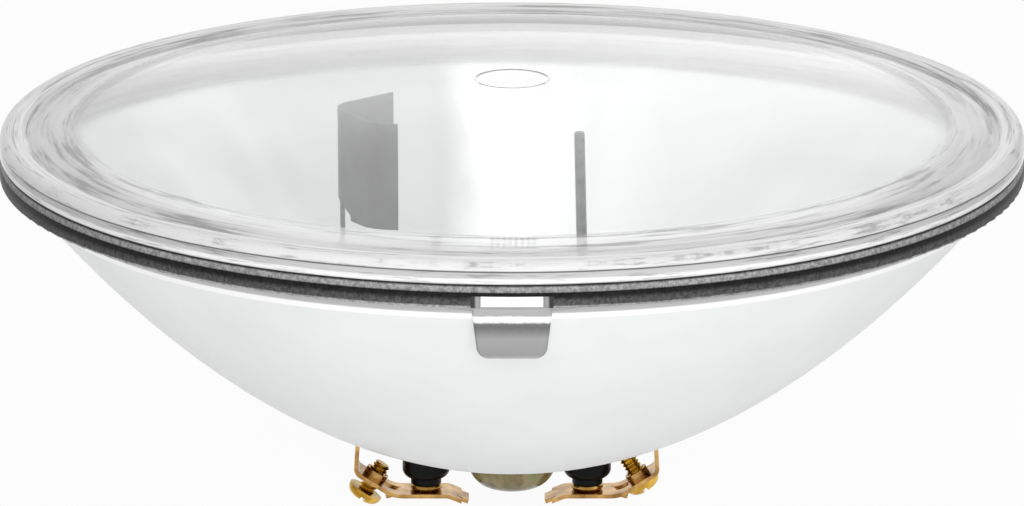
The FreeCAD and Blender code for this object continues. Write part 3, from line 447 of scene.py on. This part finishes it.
def lug_front_painted_shading(tree, place, height_mm, along_mm):
    """Where the lugs' outer faces are, and their colour: painted grey shade, with a painted highlight line
    across.
    """
    inside = product(tree, math_node(tree, "LESS_THAN", height_mm, LUG_FACE_TOP),
                     math_node(tree, "GREATER_THAN", along_mm, LUG_REACH - LUG_FACE_DEPTH))
    # Painted shade by height on the face, with a painted highlight line across its upper part
    level = math_node(tree, "ADD", math_node(tree, "DIVIDE", height_mm, LUG_DROP), 1.0)
    centred = math_node(tree, "SUBTRACT", noise(tree, place, 900.0, 4.0), 0.5)
    ragged = math_node(tree, "ADD", level, math_node(tree, "MULTIPLY", centred, 0.05))
    return inside, ramp(tree, ragged, [(0.0, 0.4), (0.07, 0.26), (0.35, 0.3), (0.55, 0.14), (0.62, 0.15),
                                       (0.67, 0.95), (0.73, 0.95), (0.77, 0.36), (1.0, 0.42)])


def notch_painted_shading(tree, height_mm, across_mm, along_mm):
    """Where the notches' walls are, and their colour: a floor painted bright as light through the glass,
    between ends painted grey and dark as shade.
    """
    inside = product(
        tree,
        math_node(tree, "LESS_THAN", across_mm, NOTCH_WIDTH / 2 + NOTCH_SIDE_MARGIN),
        math_node(tree, "LESS_THAN", height_mm, NOTCH_HEIGHT + NOTCH_END_MARGIN),
        math_node(tree, "GREATER_THAN", height_mm, NOTCH_END_MARGIN),
        math_node(tree, "GREATER_THAN", along_mm, NOTCH_ROOT_RADIUS),
    )
    # Painted light on the floor, where light shows through the glass, and painted shade on the sloped ends
    place_across = math_node(tree, "DIVIDE", across_mm, NOTCH_WIDTH / 2)
    floor_share = NOTCH_FLOOR_WIDTH / NOTCH_WIDTH
    return inside, ramp(tree, place_across, [(floor_share - 0.01, 0.95), (floor_share + 0.02, 0.25),
                                             (0.86, 0.35), (0.92, 0.05), (1.0, 0.04)])


def bowl_satin():
    """The bowl from outside: satin silver, with a painted highlight over painted shadow below the flange, and
    a flange, lugs and notches of glass painted with darker shade and light.
    """
    material, tree, shader = new_material("bowl_silver")
    radius, axes = axis_coordinates(tree)
    place = object_place(tree)
    height_mm = math_node(tree, "MULTIPLY", axes["Z"], METRES_TO_MM)
    radius_mm = math_node(tree, "MULTIPLY", radius, METRES_TO_MM)
    across_mm = math_node(tree, "MULTIPLY", math_node(tree, "ABSOLUTE", axes["X"]), METRES_TO_MM)
    along_mm = math_node(tree, "MULTIPLY", math_node(tree, "ABSOLUTE", axes["Y"]), METRES_TO_MM)
    painted_glass_shading = [
        flange_side_painted_shading(tree, place, height_mm, radius_mm),
        lug_front_painted_shading(tree, place, height_mm, along_mm),
        notch_painted_shading(tree, height_mm, across_mm, along_mm),
    ]
    colour = ramp(tree, noise(tree, place, 40.0, 5.0), [(0.3, (0.79, 0.8, 0.8)), (0.7, (0.84, 0.85, 0.85))])
    # Painted highlight and shadow at the bowl's mouth, and painted shade and light on the glass faces, laid
    # over the silver
    for inside, look in [mouth_glint(tree, height_mm)] + painted_glass_shading:
        colour = mixed(tree, inside, colour, look)
    tree.links.new(colour, shader.inputs["Base Color"])

    # The glassy faces have neither the silver's metal shine nor its full gloss
    glassy = painted_glass_shading[0][0]
    for inside, _ in painted_glass_shading[1:]:
        glassy = math_node(tree, "MAXIMUM", glassy, inside)
    silvered = math_node(tree, "SUBTRACT", 1.0, glassy)
    tree.links.new(math_node(tree, "MULTIPLY", silvered, 0.35), shader.inputs["Metallic"])
    gloss = math_node(tree, "ADD", math_node(tree, "MULTIPLY", silvered, 0.5), 0.06)
    tree.links.new(gloss, shader.inputs["Specular IOR Level"])
    shader.inputs["Roughness"].default_value = 0.42
    add_bump(tree, shader, noise(tree, place, 500.0, 3.0), 0.08, 0.2)
    return material


def metal(name, colour, dark_colour, roughness, scale):
    """A metal with cloudy tarnish, uneven gloss and fine scratch marks."""
    material, tree, shader = new_material(name)
    shader.inputs["Metallic"].default_value = 1.0
    place = object_place(tree)
    cloud = noise(tree, place, scale, 5.0)
    tree.links.new(ramp(tree, cloud, [(0.35, dark_colour), (0.6, colour)]), shader.inputs["Base Color"])
    uneven = noise(tree, place, scale * 4.0, 4.0)
    spread = ramp(tree, uneven, [(0.25, roughness * 0.7), (0.75, roughness * 1.4)])
    tree.links.new(spread, shader.inputs["Roughness"])
    add_bump(tree, shader, uneven, 0.1, 0.1)
    return material


def rubber():
    """Black rubber with a soft sheen."""
    material, tree, shader = new_material("boot_rubber")
    place = object_place(tree)
    cloud = noise(tree, place, 300.0, 4.0)
    tree.links.new(ramp(tree, cloud, [(0.3, 0.002), (0.7, 0.006)]), shader.inputs["Base Color"])
    shader.inputs["Specular IOR Level"].default_value = 0.1
    tree.links.new(ramp(tree, cloud, [(0.2, 0.28), (0.8, 0.42)]), shader.inputs["Roughness"])
    add_bump(tree, shader, noise(tree, place, 1500.0, 3.0), 0.15, 0.05)
    return material


def tip_glass():
    """The exhaust tip: glass that carries an amber cast with greenish patches."""
    material, tree, shader = new_material("tip_glass")
    place = object_place(tree)
    cloud = noise(tree, place, 160.0, 3.0)
    tree.links.new(ramp(tree, cloud, [(0.36, (0.16, 0.12, 0.04)), (0.5, (0.38, 0.31, 0.14)),
                                      (0.62, (0.27, 0.29, 0.12))]), shader.inputs["Base Color"])
    shader.inputs["Roughness"].default_value = 0.06
    shader.inputs["IOR"].default_value = 1.47
    shader.inputs["Transmission Weight"].default_value = 0.5
    add_bump(tree, shader, noise(tree, place, 260.0, 2.0), 0.3, 0.3)
    return material


# Lens and mirror, finely divided so that glass and film bend light smoothly
def build_lens():
    """The lens, drawn from its inner crest round the rim to its outer crest and turned."""
    inner = cap_stretch(MIRROR_MOUTH_RADIUS, FLANGE_HEIGHT, LENS_HEIGHT - LENS_WALL, LENS_INNER_STEPS)
    outline = [point for point in reversed(inner) if point[0] < WINDOW_EDGE_RADIUS]
    bottom = FLANGE_HEIGHT + FUSED_GLASS_LIFT
    outline += ease_stretch(outline[-1], (FOOT_RING_RADIUS, bottom), LENS_FOOT_STEPS)
    outline += [(SEAM_RADIUS, bottom), (RIM_RADIUS, FLANGE_HEIGHT + LENS_EDGE_BREAK)]
    outline += round_stretch(RIM_RADIUS - LENS_EDGE_ROUND, LENS_RIM_HEIGHT - LENS_EDGE_ROUND,
                             LENS_EDGE_ROUND, 0, 90, LENS_EDGE_STEPS)
    outline += [(LAND_RADIUS, LENS_RIM_HEIGHT), (GROOVE_RADIUS, GROOVE_HEIGHT)]
    dome = cap_stretch(DOME_FOOT_RADIUS, DOME_FOOT_HEIGHT, LENS_HEIGHT, LENS_DOME_STEPS)
    mark_inner = MARK_RADIUS - MARK_WIDTH / 2
    mark_outer = MARK_RADIUS + MARK_WIDTH / 2
    mark_foot = LENS_HEIGHT - (LENS_HEIGHT - DOME_FOOT_HEIGHT) * (MARK_RADIUS / DOME_FOOT_RADIUS) ** 2
    outline += [point for point in dome if point[0] > mark_outer]
    for step in range(MARK_STEPS + 1):
        swell = 0.5 - 0.5 * math.cos(2 * math.pi * step / MARK_STEPS)
        outline.append((mark_outer - MARK_WIDTH * step / MARK_STEPS, mark_foot + MARK_HEIGHT * swell))
    outline += [point for point in dome if point[0] < mark_inner]
    mesh = revolved_mesh("lens_glass_piece", outline)
    piece = new_object("lens_glass_piece", mesh, "lamp", lens_glass())
    sharpen(piece, GLASS_CREASE)
    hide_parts("lens")


def build_mirror():
    """The film on the bowl's parabola, which runs out flat over the fused joint."""
    vertex = BOWL_WALL - BOWL_DEPTH
    reach = FLANGE_HEIGHT - vertex
    joint_height = FLANGE_HEIGHT + FUSED_FILM_LIFT
    outline = []
    for step in range(MIRROR_STEPS + 1):
        radius = MIRROR_HOLE_RADIUS + (MIRROR_MOUTH_RADIUS - MIRROR_HOLE_RADIUS) * step / MIRROR_STEPS
        height = vertex + reach * (radius / MIRROR_MOUTH_RADIUS) ** 2 + FILM_LIFT
        outline.append((radius, min(height, joint_height)))
    outline.append((SEAM_RADIUS - FILM_EDGE_INSET, joint_height))
    mesh = revolved_mesh("mirror_film", outline)
    piece = new_object("mirror_film", mesh, "lamp", mirror_metal())
    sharpen(piece, GLASS_CREASE)


# Terminal screws
def thread_ring(mesh_maker, origin, directions, side, height):
    """One row of points round a screw's shank, as deep as the thread and the blunt point make it."""
    along, across, level = directions
    point_break = max(0.0, height - (SCREW_LENGTH - SCREW_POINT_BREAK))
    ring = []
    for step in range(THREAD_STEPS):
        turn = step / THREAD_STEPS
        phase = (height / THREAD_PITCH - side * turn) % 1.0
        groove = THREAD_DEPTH * min(1.0, THREAD_FLANK * (1.0 - abs(2.0 * phase - 1.0)))
        radius = SCREW_RADIUS - max(groove, point_break)
        angle = 2 * math.pi * turn
        place = origin + along * height
        place += (across * math.cos(angle) + level * math.sin(angle)) * radius
        ring.append(mesh_maker.verts.new(place * MM))
    return ring


def build_screw(word, side, offset, backed_out, material):
    """A terminal screw with its thread cut: the CAD screw's slotted head and a shank with a helix."""
    along = Vector((-side * math.sin(PLATE_TILT), 0.0, math.cos(PLATE_TILT)))
    across = Vector((side * math.cos(PLATE_TILT), 0.0, math.sin(PLATE_TILT)))
    level = Vector((0.0, 1.0, 0.0))
    seat = HEAD_SEAT + backed_out
    origin = Vector((side * (offset + PLATE_REACH), 0.0, PLATE_HEIGHT)) - along * seat
    cad_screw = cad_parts[f"terminal_screw_{word}"]
    mesh_maker = bmesh.new()
    mesh_maker.from_mesh(cad_screw.data)
    mesh_maker.transform(cad_screw.matrix_world)
    shank = [face for face in mesh_maker.faces
             if (face.calc_center_median() / MM - origin).dot(along) > HEAD_MARGIN]
    bmesh.ops.delete(mesh_maker, geom=shank, context="FACES")
    rings = [thread_ring(mesh_maker, origin, (along, across, level), side, SCREW_LENGTH * row / THREAD_ROWS)
             for row in range(THREAD_ROWS + 1)]
    for lower, upper in zip(rings, rings[1:]):
        for step in range(THREAD_STEPS):
            following = (step + 1) % THREAD_STEPS
            mesh_maker.faces.new([lower[step], lower[following], upper[following], upper[step]])
    mesh_maker.faces.new(rings[-1])
    mesh = finished_mesh(f"threaded_screw_{word}", mesh_maker)
    piece = new_object(f"threaded_screw_{word}", mesh, f"{word}_screw", material)
    sharpen(piece, SCREW_CREASE)
    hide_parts(f"terminal_screw_{word}")


# Stage: pale floor, white surroundings and soft lamps
def seen_directly_or_mirrored(tree):
    """The light path, and 1 for rays of the camera, of mirrors and of clear glass."""
    path = tree.nodes.new("ShaderNodeLightPath")
    seen = math_node(tree, "MAXIMUM", path.outputs["Is Camera Ray"], path.outputs["Is Glossy Ray"])
    return path, math_node(tree, "MAXIMUM", seen, path.outputs["Is Transmission Ray"])


def build_stage():
    """A floor that looks nearly white, takes the lamp's shadow and can't be seen from below."""
    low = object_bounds()[0].z
    maker = bmesh.new()
    bmesh.ops.create_grid(maker, x_segments=1, y_segments=1, size=FLOOR_SIZE * MM / 2)
    mesh = bpy.data.meshes.new("floor")
    maker.to_mesh(mesh)
    maker.free()
    material, tree, shader = new_material("floor")
    shader.inputs["Base Color"].default_value = (0.9, 0.9, 0.9, 1.0)
    shader.inputs["Roughness"].default_value = 0.8
    glow = tree.nodes.new("ShaderNodeEmission")
    seen = seen_directly_or_mirrored(tree)[1]
    share = math_node(tree, "MULTIPLY", seen, FLOOR_GLOW_SHARE)
    from_above = mixed_shader(tree, share, shader.outputs["BSDF"], glow.outputs["Emission"])
    backfacing = tree.nodes.new("ShaderNodeNewGeometry").outputs["Backfacing"]
    clear = tree.nodes.new("ShaderNodeBsdfTransparent").outputs["BSDF"]
    surface = mixed_shader(tree, backfacing, from_above, clear)
    tree.links.new(surface, tree.nodes["Material Output"].inputs["Surface"])
    floor = bpy.data.objects.new("floor", mesh)
    mesh.materials.append(material)
    bpy.context.scene.collection.objects.link(floor)
    floor.location.z = low - FLOOR_GAP * MM


def build_world():
    """White for the camera, a studio of white and grey stretches in mirrors, and an even dim light."""
    world = bpy.data.worlds.new("studio")
    bpy.context.scene.world = world
    world.use_nodes = True
    tree = world.node_tree
    dim = tree.nodes["Background"]
    dim.inputs["Color"].default_value = (1.0, 1.0, 1.0, 1.0)
    dim.inputs["Strength"].default_value = 0.33

    # The studio changes from -X to +X, with a wavering edge and a soft glow near its middle
    direction = tree.nodes.new("ShaderNodeTexCoord").outputs["Generated"]
    split = tree.nodes.new("ShaderNodeSeparateXYZ")
    tree.links.new(direction, split.inputs[0])
    waver = math_node(tree, "MULTIPLY", noise(tree, direction, 2.2, 2.0), 0.3)
    aside = math_node(tree, "MULTIPLY", split.outputs["X"], 0.5)
    place = math_node(tree, "ADD", math_node(tree, "ADD", aside, 0.35), waver)
    studio = ramp(tree, place, [(0.0, (0.7, 0.71, 0.71)), (0.2, (0.85, 0.85, 0.85)),
                                (0.38, (0.98, 0.98, 0.98)), (0.55, (1.0, 1.0, 1.0)),
                                (0.62, (0.68, 0.7, 0.69)), (0.76, (0.68, 0.7, 0.69)),
                                (0.86, (0.97, 0.97, 0.97))])
    glow = ramp(tree, place, [(0.42, 0.0), (0.49, 0.24), (0.54, 0.24), (0.6, 0.0)])

    path, seen = seen_directly_or_mirrored(tree)
    by_camera = path.outputs["Is Camera Ray"]
    mirrored_glow = math_node(tree, "MULTIPLY", glow, math_node(tree, "SUBTRACT", 1.0, by_camera))
    bright = tree.nodes.new("ShaderNodeBackground")
    tree.links.new(math_node(tree, "ADD", mirrored_glow, 1.0), bright.inputs["Strength"])
    tree.links.new(mixed(tree, by_camera, studio, (1.0, 1.0, 1.0, 1.0)), bright.inputs["Color"])
    surface = mixed_shader(tree, seen, dim.outputs[0], bright.outputs[0])
    tree.links.new(surface, tree.nodes["World Output"].inputs["Surface"])


def add_lamp(name, place, size, power, in_mirrors):
    """A soft square lamp that faces the object, and whether mirrors and clear glass show it."""
    light = bpy.data.lights.new(name, "AREA")
    light.size = size
    light.energy = power
    lamp = bpy.data.objects.new(name, light)
    bpy.context.scene.collection.objects.link(lamp)
    lamp.visible_glossy = in_mirrors
    lamp.visible_transmission = in_mirrors
    lamp.location = place
    aim = Vector((0.0, 0.0, AIM_HEIGHT * MM)) - Vector(place)
    lamp.rotation_euler = aim.to_track_quat("-Z", "Y").to_euler()


def build_camera():
    """The camera of the photograph, far off and a little above the lamp."""
    elevation = math.radians(CAMERA_ELEVATION)
    data = bpy.data.cameras.new("camera")
    data.sensor_fit = "HORIZONTAL"
    data.sensor_width = SENSOR_WIDTH
    data.lens = SENSOR_WIDTH * PIXELS_PER_MM * CAMERA_DISTANCE / PHOTO_WIDTH
    data.clip_start = 0.05
    data.clip_end = 20.0
    camera = bpy.data.objects.new("camera", data)
    bpy.context.scene.collection.objects.link(camera)
    back = Vector((0.0, -math.cos(elevation), math.sin(elevation)))
    camera.location = Vector((0.0, 0.0, AIM_HEIGHT * MM)) + back * CAMERA_DISTANCE * MM
    camera.rotation_euler = (-back).to_track_quat("-Z", "Y").to_euler()
    bpy.context.scene.camera = camera


build_lens()
build_mirror()

assign("reflector", bowl_satin())
assign("exhaust_tip", tip_glass())
brass_strip = metal("strip_brass", (0.64, 0.39, 0.14), (0.3, 0.15, 0.04), 0.22, 260.0)
brass_screw = metal("screw_brass", (0.76, 0.48, 0.08), (0.36, 0.19, 0.02), 0.17, 300.0)
brass_eyelet = metal("eyelet_brass", (0.6, 0.36, 0.1), (0.3, 0.15, 0.03), 0.2, 300.0)
post_metal = metal("post_metal", (0.17, 0.17, 0.17), (0.06, 0.06, 0.06), 0.4, 700.0)
shield_metal = metal("shield_metal", (0.27, 0.27, 0.28), (0.06, 0.06, 0.065), 0.45, 45.0)
ferrule_metal = metal("ferrule_metal", (0.5, 0.49, 0.47), (0.3, 0.29, 0.27), 0.35, 200.0)
black_rubber = rubber()
for word in ("left", "right"):
    assign(f"terminal_strip_{word}", brass_strip)
    assign(f"eyelet_{word}", brass_eyelet)
    assign(f"boot_{word}", black_rubber)
    assign(f"ferrule_{word}", ferrule_metal)
    assign(f"post_{word}", post_metal)
build_screw("left", -1, LEFT_OFFSET, LEFT_BACKED_OUT, brass_screw)
build_screw("right", 1, RIGHT_OFFSET, 0.0, brass_screw)
assign("shield_support", post_metal)
assign("filament", post_metal)
assign("filament_shield", shield_metal)

build_stage()
build_world()
add_lamp("key_lamp", (0.08, -1.3, 0.3), 0.6, 13.5, in_mirrors=False)
add_lamp("fill_lamp", (1.0, -0.6, 0.4), 0.8, 0.8, in_mirrors=True)
add_lamp("top_lamp", (0.0, 0.2, 1.6), 1.2, 9.0, in_mirrors=False)
build_camera()
bpy.context.scene.view_settings.view_transform = "Standard"
